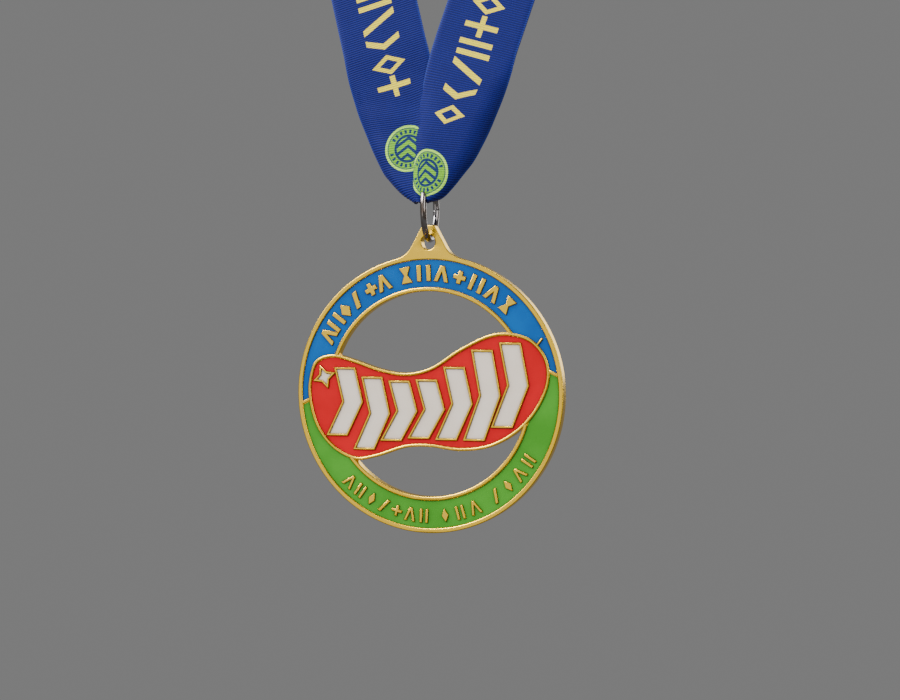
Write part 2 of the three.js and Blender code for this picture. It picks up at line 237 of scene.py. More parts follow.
def goldMaterial():
    material, shader = newMaterial("goldPlate")
    where = objectPlace(material)
    broad = noise(material, where, 45, 2)
    fine = noise(material, where, 700, 3)
    grain = noise(material, where, 5200, 2)
    tone = blendColors(material, broad, color(0.96, 0.58, 0.03), color(1.0, 0.655, 0.06))
    plug(material, shader.inputs["Base Color"], tone)
    shader.inputs["Metallic"].default_value = 1.0
    plug(material, shader.inputs["Roughness"], spread(material, fine, 0.3, 0.7, 0.22, 0.29))
    plug(material, shader.inputs["Normal"], bump(material, grain, 0.05, 0.00002))
    return material


def enamelMaterial(name, deep, light, gloss):
    material, shader = newMaterial(name)
    where = objectPlace(material)
    cloud = noise(material, where, 90, 3)
    specks = noise(material, where, 1600, 2)
    tone = blendColors(material, spread(material, cloud, 0.35, 0.65), deep, light)
    # painted shade: ambient occlusion darkens the enamel's base colour beside the gold walls of its
    # recess, where shade falls; depth is this painted shade's strength
    paintedWallShade = addNode(material, "ShaderNodeAmbientOcclusion")
    paintedWallShade.inputs["Distance"].default_value = 0.0016
    depth = spread(material, paintedWallShade.outputs["AO"], 0.55, 1.0, 0.2, 1.0)
    tone = blendColors(material, depth, color(0, 0, 0), tone)
    plug(material, shader.inputs["Base Color"], tone)
    plug(material, shader.inputs["Roughness"], spread(material, specks, 0.3, 0.7, gloss, gloss + 0.1))
    shader.inputs["Specular IOR Level"].default_value = 0.2
    height = calc(material, "ADD", cloud, calc(material, "MULTIPLY", specks, 0.08))
    plug(material, shader.inputs["Normal"], bump(material, height, 0.3, 0.0002))
    return material


def steelMaterial():
    material, shader = newMaterial("ringSteel")
    where = objectPlace(material)
    broad = noise(material, where, 260, 3)
    fine = noise(material, where, 5000, 3)
    patches = spread(material, broad, 0.35, 0.65)
    tone = blendColors(material, patches, color(0.22, 0.17, 0.14), color(0.40, 0.39, 0.40))
    plug(material, shader.inputs["Base Color"], tone)
    shader.inputs["Metallic"].default_value = 1.0
    plug(material, shader.inputs["Roughness"], spread(material, fine, 0.3, 0.7, 0.12, 0.24))
    plug(material, shader.inputs["Normal"], bump(material, fine, 0.2, 0.00003))
    return material


gold = goldMaterial()
steel = steelMaterial()
blue = enamelMaterial("blueEnamel", color(0.001, 0.088, 0.36), color(0.003, 0.115, 0.43), 0.3)
green = enamelMaterial("greenEnamel", color(0.052, 0.29, 0.016), color(0.070, 0.35, 0.024), 0.3)
red = enamelMaterial("redEnamel", color(0.57, 0.0005, 0.005), color(0.645, 0.001, 0.008), 0.3)
white = enamelMaterial("whiteEnamel", color(0.87, 0.75, 0.63), color(0.93, 0.82, 0.71), 0.36)

casting = {
    "windowRadius": 29.5,
    "outerRim": 1.4,
    "innerRim": 1.2,
    "recess": 0.7,
    "edge": 0.3,
    "backStep": 0.14,
    "outlineWidth": 0.9,
    "cellWall": 0.5,
    "markEdge": 0.14,
    "markFoot": 0.3,
}

beanCorners = [
    (-36.8, 2.5), (-34.6, 9.3), (-29.5, 11.2), (-23.0, 9.8), (-14.5, 7.1), (-6.8, 6.0),
    (0.5, 7.6), (9.4, 13.1), (18.6, 17.3), (24.8, 17.7), (31.0, 15.6), (35.2, 10.3),
    (35.8, 4.0), (32.6, -3.8), (27.0, -10.2), (18.6, -14.9), (9.4, -16.2), (0.0, -15.2),
    (-6.8, -15.6), (-16.0, -18.5), (-22.2, -19.4), (-29.0, -16.3), (-34.0, -10.5), (-36.4, -3.5),
]


# start and end slopes of one span of a centripetal Catmull-Rom curve
def centripetalSlopes(points, spans):
    p0, p1, p2, p3 = points
    d0, d1, d2 = spans
    leaving = ((p1 - p0) / d0 - (p2 - p0) / (d0 + d1) + (p2 - p1) / d1) * d1
    arriving = ((p2 - p1) / d1 - (p3 - p1) / (d1 + d2) + (p3 - p2) / d2) * d1
    return leaving, arriving


def hermite(t, p1, p2, m1, m2):
    start = (2 * t**3 - 3 * t**2 + 1) * p1 + (t**3 - 2 * t**2 + t) * m1
    return start + (3 * t**2 - 2 * t**3) * p2 + (t**3 - t**2) * m2


# a closed centripetal Catmull-Rom curve through the corners, as the cast one is drawn
def beanLoop(grow, perSpan=10):
    corners = [np.array(p) for p in beanCorners]
    loop = []
    for i in range(len(corners)):
        near = [corners[(i + k) % len(corners)] for k in (-1, 0, 1, 2)]
        spans = [max(np.linalg.norm(b - a) ** 0.5, 1e-4) for a, b in zip(near, near[1:])]
        m1, m2 = centripetalSlopes(near, spans)
        for k in range(perSpan):
            loop.append(tuple(hermite(k / perSpan, near[1], near[2], m1, m2)))
    loop.reverse()
    return offsetLoop(loop, grow)


# lowest and highest point of the bean's inside at one x
def beanSpan(x):
    loop = beanLoop(-casting["outlineWidth"])
    heights = []
    for a, b in zip(loop, loop[1:] + loop[:1]):
        if (a[0] - x) * (b[0] - x) <= 0 and a[0] != b[0]:
            heights.append(a[1] + (b[1] - a[1]) * (x - a[0]) / (b[0] - a[0]))
    return min(heights), max(heights)


cells = {"count": 7, "first": -25.4, "pitch": 8.3, "stroke": 5.4, "sweep": 2.3, "margin": 1.9}


def arrowLoop(index):
    x = cells["first"] + index * cells["pitch"]
    half, sweep = cells["stroke"] / 2, cells["sweep"]
    bottom = max(beanSpan(at)[0] for at in (x - half - sweep, x, x + half - sweep)) + cells["margin"]
    top = min(beanSpan(at)[1] for at in (x - half, x, x + half)) - cells["margin"]
    middle = (bottom + top) / 2
    return [
        (x - half - sweep, bottom), (x + half - sweep, bottom), (x + half + sweep, middle),
        (x + half, top), (x - half, top), (x - half + sweep, middle),
    ]


sparkle = {"x": -31.9, "z": 4.6, "long": 2.5, "short": 1.15, "turn": 20, "tips": 4}


def sparkleLoop():
    loop = []
    for i in range(2 * sparkle["tips"]):
        reach = sparkle["short"] if i % 2 else sparkle["long"]
        angle = math.radians(sparkle["turn"] + 180 / sparkle["tips"] * i)
        loop.append((sparkle["x"] + reach * math.cos(angle), sparkle["z"] + reach * math.sin(angle)))
    return loop


# one sign of height h drawn with strokes s wide
def markLoops(kind, h, s):
    if kind == "hourglass":
        w = h * 0.36
        return [[(-w, -h / 2), (w, -h / 2), (s * 0.4, 0), (w, h / 2), (-w, h / 2), (-s * 0.4, 0)]]
    if kind == "twin":
        middles = (-1.15 * s, 1.15 * s)
        corners = ((-s / 2, -h / 2), (s / 2, -h / 2), (s / 2, h / 2), (-s / 2, h / 2))
        return [[(x + a, z) for a, z in corners] for x in middles]
    if kind == "diamond":
        return [[(0, -h / 2), (s * 1.35, 0), (0, h / 2), (-s * 1.35, 0)]]
    if kind == "chevron":
        w = h * 0.34
        return [[
            (-w - s / 2, -h / 2), (-w + s / 2, -h / 2), (0, h / 2 - s * 1.3),
            (w - s / 2, -h / 2), (w + s / 2, -h / 2), (s / 2, h / 2), (-s / 2, h / 2),
        ]]
    if kind == "wave":
        w = h * 0.34
        return [[(-w, -h / 2), (-w + s * 1.2, -h / 2), (w, h / 2), (w - s * 1.2, h / 2)]]
    r, a = s / 2, h * 0.4
    return [[
        (-r, -a), (r, -a), (r, -r), (a, -r), (a, r), (r, r),
        (r, a), (-r, a), (-r, r), (-a, r), (-a, -r), (-r, -r),
    ]]


# runs of signs along the bands: first angle, step and kinds
upperGroups = [
    (151.3, -7.4, ["chevron", "twin", "diamond", "wave"]),
    (120.1, -7.0, ["plus", "chevron"]),
    (101.3, -9.0, ["hourglass", "twin", "chevron", "plus", "twin", "chevron", "hourglass"]),
]
lowerGroups = [
    (227.0, 6.8, ["chevron", "twin", "diamond", "wave", "plus", "chevron", "twin"]),
    (278.3, 7.6, ["diamond", "twin", "chevron"]),
    (305.1, 7.7, ["wave", "diamond", "chevron", "twin"]),
]
upperMarks = {"groups": upperGroups, "height": 4.6, "stroke": 1.25, "radius": 34.7, "turned": -90}
lowerMarks = {"groups": lowerGroups, "height": 3.9, "stroke": 0.75, "radius": 35.1, "turned": 90}


def turnedLoop(loop, angle, x, z):
    c, s = math.cos(angle), math.sin(angle)
    return [(x + c * a - s * b, z + s * a + c * b) for a, b in loop]


def bandMarkLoops(marks):
    loops = []
    for start, step, kinds in marks["groups"]:
        for i, kind in enumerate(kinds):
            angle = math.radians(start + i * step)
            x, z = marks["radius"] * math.cos(angle), marks["radius"] * math.sin(angle)
            turn = angle + math.radians(marks["turned"])
            for loop in markLoops(kind, marks["height"], marks["stroke"]):
                loops.append(turnedLoop(loop, turn, x, z))
    return loops


tab = {
    "half": 1.75,
    "slope": 0.55,
    "cut": 0.6,
    "filletRise": 1.9,
    "root": 10.2,
    "holeDrop": 5.0,
    "hole": 2.1,
}


# points of a quadratic curve after its first one
def bend(a, b, c, steps=12):
    points = []
    for i in range(1, steps + 1):
        t = i / steps
        first, second, third = (1 - t) ** 2, 2 * t * (1 - t), t * t
        points.append(tuple(first * a[k] + second * b[k] + third * c[k] for k in (0, 1)))
    return points


# the medal's outline with its tab, anticlockwise
def silhouetteLoop():
    root, half, slope, cut = tab["root"], tab["half"], tab["slope"], tab["cut"]
    rootZ = math.sqrt(medalRadius**2 - root**2)
    footZ = medalRadius + tab["filletRise"]
    footX = half + slope * (tabTop - footZ)
    bendX = footX + slope * (footZ - medalRadius) + 0.4
    side = [(root, rootZ)]
    side += bend(side[-1], (bendX, medalRadius - 0.5), (footX, footZ))
    side.append((half + slope * cut, tabTop - cut))
    side += bend(side[-1], (half, tabTop), (half - cut, tabTop), 6)
    mirrored = [(-x, z) for x, z in reversed(side)]
    start = math.degrees(math.atan2(rootZ, -root))
    end = math.degrees(math.atan2(rootZ, root)) + 360
    return side + mirrored + arc(medalRadius, start, end, 240)[1:-1]


# where the bean's outline crosses a circle, as angles in degrees
def beanCrossings(radius):
    loop = beanLoop(0)
    found = []
    for a, b in zip(loop, loop[1:] + loop[:1]):
        if (math.hypot(*a) - radius) * (math.hypot(*b) - radius) < 0:
            found.append(math.degrees(math.atan2(a[1] + b[1], a[0] + b[0])) % 360)
    return sorted(found)


def innerRimLoops():
    inner = casting["windowRadius"]
    outer = inner + casting["innerRim"]
    right, left, leftLow, rightLow = beanCrossings((inner + outer) / 2)
    loops = []
    for start, end in ((right - 1.5, left + 1.5), (leftLow - 1.5, rightLow + 1.5)):
        loops.append(arc(outer, start, end, 120) + arc(inner, end, start, 120))
    return loops


dividers = {"ends": (((-39.0, -3.3), (-36.4, -1.9)), ((38.4, 5.7), (35.8, 7.0))), "half": 0.36}
dash = {"x": 33.0, "z": 15.2, "turn": -38, "half": 0.25, "reach": 1.3}


# the two short walls between the bands, from the rim to the bean
def dividerLoops():
    loops = []
    for rim, bean in dividers["ends"]:
        outerPoint, innerPoint = Vector(rim), Vector(bean)
        across = (outerPoint - innerPoint).orthogonal().normalized() * dividers["half"]
        corners = (innerPoint - across, outerPoint - across, outerPoint + across, innerPoint + across)
        loops.append([tuple(p) for p in corners])
    return loops


# the small raised stroke beside the plaque's right end
def dashLoop():
    half, reach = dash["half"], dash["reach"]
    loop = [(-half, -reach), (half, -reach), (half, reach), (-half, reach)]
    return turnedLoop(loop, math.radians(dash["turn"]), dash["x"], dash["z"])


def makeCasting():
    front, back = -halfThick, halfThick
    floor = front + casting["recess"]
    foot = floor + casting["markFoot"]
    inside = medalRadius - casting["outerRim"]
    hole = circle(tab["hole"], 0, tabTop - tab["holeDrop"], 64)
    edge, markEdge = casting["edge"], casting["markEdge"]
    step = casting["backStep"]
    meshes = [roundedPlate([silhouetteLoop(), circle(inside), hole], front, back, edge)]
    meshes += [roundedPlate([loop], front, back, edge) for loop in innerRimLoops()]
    beanWall = [beanLoop(0), beanLoop(-casting["outlineWidth"])]
    meshes.append(roundedPlate(beanWall, front - 0.01, back + 0.01, edge))
    bandFloor = [circle(inside + 0.4), circle(casting["windowRadius"] + 0.35)]
    meshes.append(roundedPlate(bandFloor, floor, back - step, 0.05, 0))
    meshes.append(roundedPlate([beanLoop(-0.4)], floor - 0.005, back - step + 0.01, 0.05, 0))
    cellLoops = [arrowLoop(i) for i in range(cells["count"])] + [sparkleLoop()]
    for loop in cellLoops:
        wall = [offsetLoop(loop, casting["cellWall"]), loop]
        meshes.append(roundedPlate(wall, front, foot, markEdge))
    for loop in bandMarkLoops(upperMarks) + bandMarkLoops(lowerMarks):
        meshes.append(roundedPlate([loop], front, foot, markEdge))
    for loop in dividerLoops():
        meshes.append(roundedPlate([loop], front + 0.03, foot, markEdge))
    meshes.append(roundedPlate([dashLoop()], front, foot, markEdge))
    piece = finishMesh("medalCasting", joinMeshes(meshes), gold)
    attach(piece, "medal")
    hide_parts("medal_casting")


makeCasting()
print("casting made")

for nodeName, material in (("blue_enamel", blue), ("green_enamel", green), ("red_enamel", red)):
    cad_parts[nodeName].material_slots[0].material = material
for nodeName in [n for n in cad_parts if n.startswith("white_")]:
    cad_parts[nodeName].material_slots[0].material = white
print("enamel filled")


jumpRing = {"wire": 1.8, "split": 0.8, "yaw": 5.6, "steps": 180, "sides": 28, "endTaper": 0.93}


def makeJumpRing():
    wire = jumpRing["wire"] / 2
    radius = (ringHigh[2] - ringLow[2]) / 2 / mm - wire
    yawed = Matrix.Rotation(math.radians(jumpRing["yaw"]), 3, "Z")
    body = bmesh.new()
    loops = []
    for i in range(jumpRing["steps"] + 1):
        turn = math.radians(jumpRing["split"] / 2 + (360 - jumpRing["split"]) * i / jumpRing["steps"])
        ends = i in (0, jumpRing["steps"])
        loop = []
        for k in range(jumpRing["sides"]):
            around = 2 * math.pi * k / jumpRing["sides"]
            thick = wire * (jumpRing["endTaper"] if ends else 1.0)
            reach = radius + thick * math.cos(around)
            spot = yawed @ Vector((thick * math.sin(around), reach * math.cos(turn), 0))
            loop.append(body.verts.new(place(spot.x, spot.y, ringZ + reach * math.sin(turn))))
        loops.append(loop)
    for first, second in zip(loops, loops[1:]):
        for k in range(jumpRing["sides"]):
            n = (k + 1) % jumpRing["sides"]
            body.faces.new((first[k], first[n], second[n], second[k]))
    body.faces.new(loops[0])
    body.faces.new(reversed(loops[-1]))
    bmesh.ops.recalc_face_normals(body, faces=body.faces)
    mesh = bpy.data.meshes.new("jumpRingWire")
    body.to_mesh(mesh)
    body.free()
    piece = finishMesh("jumpRingWire", mesh, steel, 50, False)
    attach(piece, "ring")
    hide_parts("jump_ring")


makeJumpRing()
print("jump ring made")


ribbon = {
    "width": 25.0,
    "half": 0.36,
    "gap": 0.5,
    "ribPitch": 0.66,
    "ribHeight": 0.16,
    "ribRows": 4,
    "ribbedLength": 128.0,
    "plainStep": 1.6,
    "lean": 0.186,
    "uprightRise": 43.1,
    "viewLean": 0.315,
    "edgeRoll": 2.4,
    "creaseRoll": 1.7,
    "printStart": {"right": 3.6, "left": 1998.5},
    "backShift": 5000.0,
    "jump": 500,
}

# where the badge's own places are put for cloth that carries no badge
badgeAway = 60.0
badgeBackShift = 300.0

# rows of the gathered V from the tip up, as outer edge, middle and inner edge in x and z
rightRows = [
    ((-2.6, 54.6), (-3.2, 54.7), (-3.8, 54.8)), ((2.6, 55.7), (-2.6, 56.6), (-4.4, 57.0)),
    ((6.0, 58.5), (-2.0, 59.2), (-4.5, 59.5)), ((9.7, 62.9), (-1.1, 63.6), (-4.5, 64.0)),
    ((13.1, 67.2), (1.2, 68.3), (-4.3, 68.9)), ((16.8, 74.0), (4.2, 75.5), (-3.9, 76.5)),
    ((20.0, 80.8), (7.6, 82.9), (-2.8, 84.5)), ((23.5, 88.9), (11.7, 92.4), (-0.1, 95.9)),
    ((25.9, 96.6), (13.9, 100.1), (1.9, 103.6)),
]
leftRows = [
    ((-4.4, 54.6), (-4.3, 55.0), (-3.5, 55.2)), ((-8.9, 57.2), (-5.0, 58.0), (-3.0, 58.5)),
    ((-12.7, 61.0), (-5.6, 62.0), (-2.6, 62.5)), ((-15.4, 64.7), (-6.0, 66.0), (-2.5, 67.0)),
    ((-20.2, 75.0), (-7.6, 76.0), (-2.0, 77.0)), ((-22.8, 82.0), (-9.3, 84.0), (-0.5, 87.0)),
    ((-24.6, 88.9), (-11.7, 92.4), (0.1, 95.9)), ((-25.9, 96.6), (-13.9, 100.1), (-1.9, 103.6)),
]

# the strap's middle on the wearer's left: place above the fold, and where its face looks
strapRoute = [
    ((13.9, 0.4, 45.5), (0, -1, 0.18)), ((17.8, 2.9, 58.7), (0, -1, 0.18)),
    ((36.0, 14.4, 120.4), (0, -1, 0.18)), ((54.0, 25.7, 181.4), (0.05, -1, 0.2)),
    ((68.0, 37.0, 229.4), (0.22, -0.9, 0.42)), ((73.5, 55.0, 257.4), (0.42, -0.5, 0.75)),
    ((70.0, 82.0, 270.4), (0.42, 0.05, 0.9)), ((56.0, 115.0, 271.4), (0.36, 0.42, 0.82)),
    ((32.0, 140.0, 267.4), (0.16, 0.72, 0.68)), ((0, 150.0, 265.4), (0, 0.8, 0.6)),
]

columns = np.array([-1, -0.975, -0.93, -0.86, -0.76, -0.6, -0.3, 0, 0.3, 0.6, 0.76, 0.86, 0.93, 0.975, 1])


# the four points about each fractional index, and the place within its span
def spanPoints(points, at):
    points = np.array(points, float)
    padded = np.vstack([2 * points[0] - points[1], points, 2 * points[-1] - points[-2]])
    index = np.minimum(at.astype(int), len(points) - 2)
    return [padded[index + k] for k in range(4)], (at - index)[:, None]


# Catmull-Rom through the points at fractional indices
def through(points, at):
    (p0, p1, p2, p3), t = spanPoints(points, at)
    return hermite(t, p1, p2, (p2 - p0) / 2, (p3 - p1) / 2)


# the centripetal kind, for points that lie unevenly
def centripetal(points, at):
    near, t = spanPoints(points, at)
    spans = [np.sqrt(np.linalg.norm(b - a, axis=1))[:, None] for a, b in zip(near, near[1:])]
    m1, m2 = centripetalSlopes(near, spans)
    return hermite(t, near[1], near[2], m1, m2)


# depth of the leaning plane in which the V lies
def vPlane(z):
    return (z - foldZ - ribbon["uprightRise"]) * ribbon["lean"]


def smoothStep(value, low, high):
    t = np.clip((value - low) / (high - low), 0, 1)
    return t * t * (3 - 2 * t)


# rows of one side of the V: places in x, y, z and the run along the middle
def gatheredRows(rows, onTop):
    side = 1 if onTop else -1
    corrected = []
    for row in rows:
        corrected.append([(x + ribbon["viewLean"] * max(0.0, -vPlane(z)), z) for x, z in row])
    fine = np.linspace(0, len(rows) - 1, 1200)
    middle = through([row[1] for row in corrected], fine)
    lean = math.hypot(1, ribbon["lean"])
    steps = np.hypot(np.diff(middle[:, 0]), np.diff(middle[:, 1]) * lean)
    run = np.concatenate([[0], np.cumsum(steps)])
    step = ribbon["ribPitch"] / ribbon["ribRows"]
    count = int(run[-1] / step) + 1
    wanted = np.arange(count) * step
    at = np.interp(wanted, run, fine)
    outer, middle, inner = (through([row[k] for row in corrected], at)[:, None, :] for k in range(3))
    u = columns[None, :, None]
    flat = inner * u * (u - 1) / 2 + middle * (1 - u * u) + outer * u * (u + 1) / 2
    x, z = flat[..., 0], flat[..., 1]
    y = vPlane(z) - side * ribbon["gap"]
    fade = 1 - smoothStep(z, foldZ + 20, foldZ + 45)
    u = columns[None, :]
    y = y + ribbon["edgeRoll"] * fade * np.clip((u - 0.66) / 0.34, 0, 1) ** 2
    if onTop:
        y = y + ribbon["creaseRoll"] * fade * np.clip((-u - 0.5) / 0.5, 0, 1) ** 2
        dip = np.exp(-((x - 0.75) / 1.3) ** 2) * (1 - smoothStep(z, foldZ + 1.6, foldZ + 3.4))
        y = y + 0.9 * dip
    ripple = np.sin(0.42 * z + 1.9 * u + side) * np.sin(0.23 * z + 2.6 * u * side)
    y = y + 0.22 * ripple * fade
    return np.stack([x, y, z], -1), wanted, run[-1]


# rows of one strap from the V to the nape, and the run along its middle
def strapRows(vRun):
    flip = np.array([-1, 1, 1])
    places = [np.array(p, float) + (0, 0, foldZ) for p, way in strapRoute]
    ways = [np.array(way, float) for p, way in strapRoute]
    loopPlaces = places + [p * flip for p in places[:-1]][::-1]
    loopWays = ways + [w * flip for w in ways[:-1]][::-1]
    fine = np.linspace(0, len(places) - 1, 4000)
    path = centripetal(loopPlaces, fine)
    run = np.concatenate([[0], np.cumsum(np.linalg.norm(np.diff(path, axis=0), axis=1))])
    step = ribbon["ribPitch"] / ribbon["ribRows"]
    start = (int(vRun / step) + 1) * step - vRun
    ribbed = np.arange(start, ribbon["ribbedLength"] - vRun, step)
    plain = np.linspace(ribbed[-1], run[-1], int((run[-1] - ribbed[-1]) / ribbon["plainStep"]))[1:]
    wanted = np.concatenate([ribbed, plain])
    at = np.interp(wanted, run, fine)
    middle = centripetal(loopPlaces, at)
    out = through(loopWays, at)
    ahead = centripetal(loopPlaces, np.minimum(at + 0.01, len(places) - 1))
    behind = centripetal(loopPlaces, np.maximum(at - 0.01, 0))
    along = ahead - behind
    along /= np.linalg.norm(along, axis=1)[:, None]
    across = np.cross(along, out)
    across /= np.linalg.norm(across, axis=1)[:, None]
    reach = columns[None, :, None] * ribbon["width"] / 2
    return middle[:, None, :] + across[:, None, :] * reach, wanted + vRun


# a closed strip of cloth about a grid of places; its hidden side reads its print elsewhere
def closedStrip(name, grid, lift, uvs, material):
    rows, count = grid.shape[:2]
    normal = -np.cross(np.gradient(grid, axis=0), np.gradient(grid, axis=1))
    normal /= np.maximum(np.linalg.norm(normal, axis=-1), 1e-9)[..., None]
    front = grid + normal * lift[..., None]
    back = grid - normal * lift[..., None]
    verts = np.concatenate([front.reshape(-1, 3), back.reshape(-1, 3)]) * mm + np.array(medalCentre)
    a = (np.arange(rows - 1)[:, None] * count + np.arange(count - 1)[None, :]).ravel()
    total = rows * count
    frontFaces = np.stack([a, a + 1, a + count + 1, a + count], -1)
    backFaces = np.stack([a, a + count, a + count + 1, a + 1], -1) + total
    r = np.arange(rows - 1) * count
    innerEdge = np.stack([r, r + count, r + count + total, r + total], -1)
    e = r + count - 1
    outerEdge = np.stack([e, e + total, e + count + total, e + count], -1)
    c = np.arange(count - 1)
    startEnd = np.stack([c, c + total, c + 1 + total, c + 1], -1)
    c = c + (rows - 1) * count
    lastEnd = np.stack([c, c + 1, c + 1 + total, c + total], -1)
    faces = np.concatenate([frontFaces, backFaces, innerEdge, outerEdge, startEnd, lastEnd])
    mesh = bpy.data.meshes.new(name)
    mesh.from_pydata(verts.tolist(), [], faces.tolist())
    for uvName, values, hidden in uvs:
        layer = mesh.uv_layers.new(name=uvName)
        corners = np.concatenate([values.reshape(-1, 2), values.reshape(-1, 2) + hidden])[faces]
        runs = corners[..., 1]
        # faces whose print run jumps get a run where the painted rib shade sits at its middle, so they
        # show no dark band
        jumped = np.ptp(runs, axis=1) > ribbon["jump"]
        ribs = runs[jumped].min(axis=1, keepdims=True) // ribbon["ribPitch"]
        runs[jumped] = (ribs + 0.25) * ribbon["ribPitch"]
        layer.data.foreach_set("uv", corners.ravel())
    body = bmesh.new()
    body.from_mesh(mesh)
    bmesh.ops.recalc_face_normals(body, faces=body.faces)
    body.to_mesh(mesh)
    body.free()
    return finishMesh(name, mesh, material, 60, False)


def uvPlace(material, name):
    return addNode(material, "ShaderNodeUVMap", uv_map=name).outputs[0]


def within(material, value, low, high):
    above = calc(material, "GREATER_THAN", value, low)
    return calc(material, "MULTIPLY", above, calc(material, "LESS_THAN", value, high))


# a band around a line, softened over a thread's width
def stroke(material, distance, half, soft=0.16):
    size = calc(material, "ABSOLUTE", distance)
    return spread(material, size, half - soft / 2, half + soft / 2, 1.0, 0.0)


# the ribbon's printed signs, and the runs between which each strap carries them
marks = {
    "pitch": 6.7,
    "reach": 5.1,
    "stroke": 0.78,
    "slope": 0.45,
    "chevronPeak": 1.1,
    "twinGap": 1.6,
    "diamond": 3.9,
    "plusArm": 3.2,
    "right": (26.8, 388.6),
    "left": (2030.1, 2391.9),
}


def printedMarks(material, u, v):
    pitch, half = marks["pitch"], marks["stroke"]
    cell = calc(material, "FLOOR", calc(material, "DIVIDE", v, pitch))
    p = calc(material, "SUBTRACT", calc(material, "MODULO", v, pitch), pitch / 2)
    q = calc(material, "ABSOLUTE", u)
    kind = calc(material, "MODULO", calc(material, "MULTIPLY", cell, 3), 5)
    slope = calc(material, "SUBTRACT", calc(material, "MULTIPLY", q, marks["slope"]), marks["chevronPeak"])
    chevron = stroke(material, calc(material, "SUBTRACT", p, slope), half * 1.15)
    fromBar = calc(material, "SUBTRACT", calc(material, "ABSOLUTE", p), marks["twinGap"])
    twin = stroke(material, fromBar, half)
    reach = calc(material, "ADD", calc(material, "MULTIPLY", calc(material, "ABSOLUTE", p), 1.7), q)
    diamond = stroke(material, calc(material, "SUBTRACT", reach, marks["diamond"]), half * 1.5)
    lean = calc(material, "ADD", p, calc(material, "MULTIPLY", u, marks["slope"]))
    slash = stroke(material, lean, half * 1.2)
    cross = calc(material, "MINIMUM", calc(material, "ABSOLUTE", p), q)
    plus = calc(material, "MULTIPLY", stroke(material, cross, half), stroke(material, p, marks["plusArm"]))
    mask = 0.0
    for number, shape in enumerate((chevron, twin, diamond, slash, plus)):
        chosen = stroke(material, calc(material, "SUBTRACT", kind, float(number)), 0.4)
        mask = calc(material, "MAXIMUM", mask, calc(material, "MULTIPLY", chosen, shape))
    mask = calc(material, "MULTIPLY", mask, stroke(material, u, marks["reach"]))
    onRight = within(material, v, *marks["right"])
    onLeft = within(material, v, *marks["left"])
    return calc(material, "MULTIPLY", mask, calc(material, "ADD", onRight, onLeft))


# radii of the round badge and the sizes of what it carries
badgeArt = {
    "outline": 6.42,
    "outlineHalf": 0.33,
    "band": 4.95,
    "bandHalf": 0.86,
    "ticks": 22,
    "tickHalf": 0.56,
    "tickFree": 1.4,
    "slope": 0.75,
    "stackPitch": 2.4,
    "stackShift": 20.4,
    "stackShare": 0.55,
    "stackRadius": 3.35,
    "ground": 6.75,
}


def printedBadge(material, x, z):
    art = badgeArt
    squares = calc(material, "ADD", calc(material, "MULTIPLY", x, x), calc(material, "MULTIPLY", z, z))
    r = calc(material, "SQRT", squares)
    outline = stroke(material, calc(material, "SUBTRACT", r, art["outline"]), art["outlineHalf"])
    fromBand = calc(material, "SUBTRACT", r, art["band"])
    band = stroke(material, fromBand, art["bandHalf"])
    angle = calc(material, "DIVIDE", calc(material, "ARCTAN2", z, x), 2 * math.pi)
    turns = calc(material, "MULTIPLY", calc(material, "ADD", angle, 1.0), art["ticks"])
    ticked = calc(material, "LESS_THAN", calc(material, "FRACT", turns), 0.5)
    tick = calc(material, "MULTIPLY", ticked, stroke(material, fromBand, art["tickHalf"]))
    awayFromSides = calc(material, "GREATER_THAN", calc(material, "ABSOLUTE", z), art["tickFree"])
    uncut = calc(material, "SUBTRACT", 1.0, calc(material, "MULTIPLY", tick, awayFromSides))
    band = calc(material, "MULTIPLY", band, uncut)
    fall = calc(material, "MULTIPLY", calc(material, "ABSOLUTE", x), -art["slope"])
    rise = calc(material, "ADD", calc(material, "SUBTRACT", z, fall), art["stackShift"])
    stack = calc(material, "FRACT", calc(material, "DIVIDE", rise, art["stackPitch"]))
    inStack = calc(material, "LESS_THAN", r, art["stackRadius"])
    peak = calc(material, "MULTIPLY", calc(material, "LESS_THAN", stack, art["stackShare"]), inStack)
    lime = calc(material, "MAXIMUM", band, peak)
    ground = calc(material, "LESS_THAN", r, art["ground"])
    return outline, lime, ground


